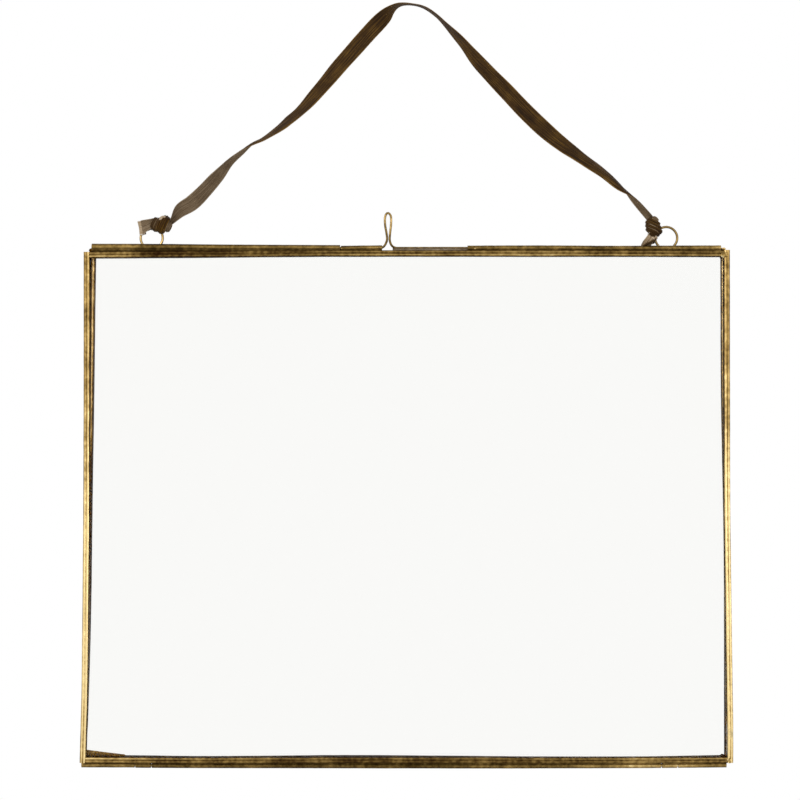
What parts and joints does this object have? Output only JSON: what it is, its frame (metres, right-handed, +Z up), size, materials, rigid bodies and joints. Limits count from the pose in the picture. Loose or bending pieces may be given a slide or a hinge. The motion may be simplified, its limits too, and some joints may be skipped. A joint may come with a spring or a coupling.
{
  "type": "hanging picture frame",
  "caption": "Landscape double-glass picture frame of two hinged brass leaves, shut by a sliding wire bolt with a loop and hung by a ribbon knotted to rings.",
  "frame": {"origin": "the point under the ribbon's crest where a nail or hook in the wall takes it, midway through the ribbon's width", "axes": "+X to the right along the leaves seen from the front, +Y back to the wall, +Z up"},
  "size_m": [0.262, 0.0076, 0.3118],
  "materials": {
    "brass_channel": "antiqued, worn bright on the beads and dark in the groove",
    "brass_tube": "antiqued, dull, with solder smears",
    "brass_wire": "drawn wire, lightly polished",
    "solder": "tin solder, brass-washed, melted surface",
    "pane": "clear float glass, clean",
    "ribbon": "brown woven satin ribbon, taupe on the other face"
  },
  "bodies": {
    "back_leaf": {"back_leaf_glass": "pane", "back_leaf_left_channel": "brass_channel", "back_leaf_top_channel": "brass_channel", "back_leaf_right_channel": "brass_channel", "back_leaf_bottom_channel": "brass_channel", "back_leaf_solder_top_left": "solder", "back_leaf_solder_top_right": "solder", "back_leaf_solder_bottom_left": "solder", "back_leaf_solder_bottom_right": "solder", "hinge_tube_left": "brass_tube", "hinge_tube_middle": "brass_tube", "hinge_tube_right": "brass_tube", "hinge_pin": "brass_wire", "top_tube_left": "brass_tube", "top_tube_right": "brass_tube", "hanging_ring_left": "brass_wire", "hanging_ring_right": "brass_wire", "ring_solder_left": "solder", "ring_solder_right": "solder", "ribbon": "ribbon", "ribbon_knot_left": "ribbon", "ribbon_knot_right": "ribbon", "ribbon_loop_left": "ribbon", "ribbon_loop_right": "ribbon"},
    "front_leaf": {"front_leaf_glass": "pane", "front_leaf_left_channel": "brass_channel", "front_leaf_top_channel": "brass_channel", "front_leaf_right_channel": "brass_channel", "front_leaf_bottom_channel": "brass_channel", "front_leaf_solder_top_left": "solder", "front_leaf_solder_top_right": "solder", "front_leaf_solder_bottom_left": "solder", "front_leaf_solder_bottom_right": "solder", "hinge_knuckle_left": "brass_tube", "hinge_knuckle_right": "brass_tube", "latch_tube": "brass_tube"},
    "closure_bolt": {"closure_bolt": "brass_wire"}
  },
  "joints": [
    {"name": "leaf_hinge", "type": "hinge", "parent": "back_leaf", "child": "front_leaf", "pos_m": [0, 0, -0.30925], "axis": [1, 0, 0], "range_deg": [0, 180]},
    {"name": "bolt_slide", "type": "slide", "parent": "back_leaf", "child": "closure_bolt", "axis": [1, 0, 0], "range_m": [0, 0.0292]}
  ]
}
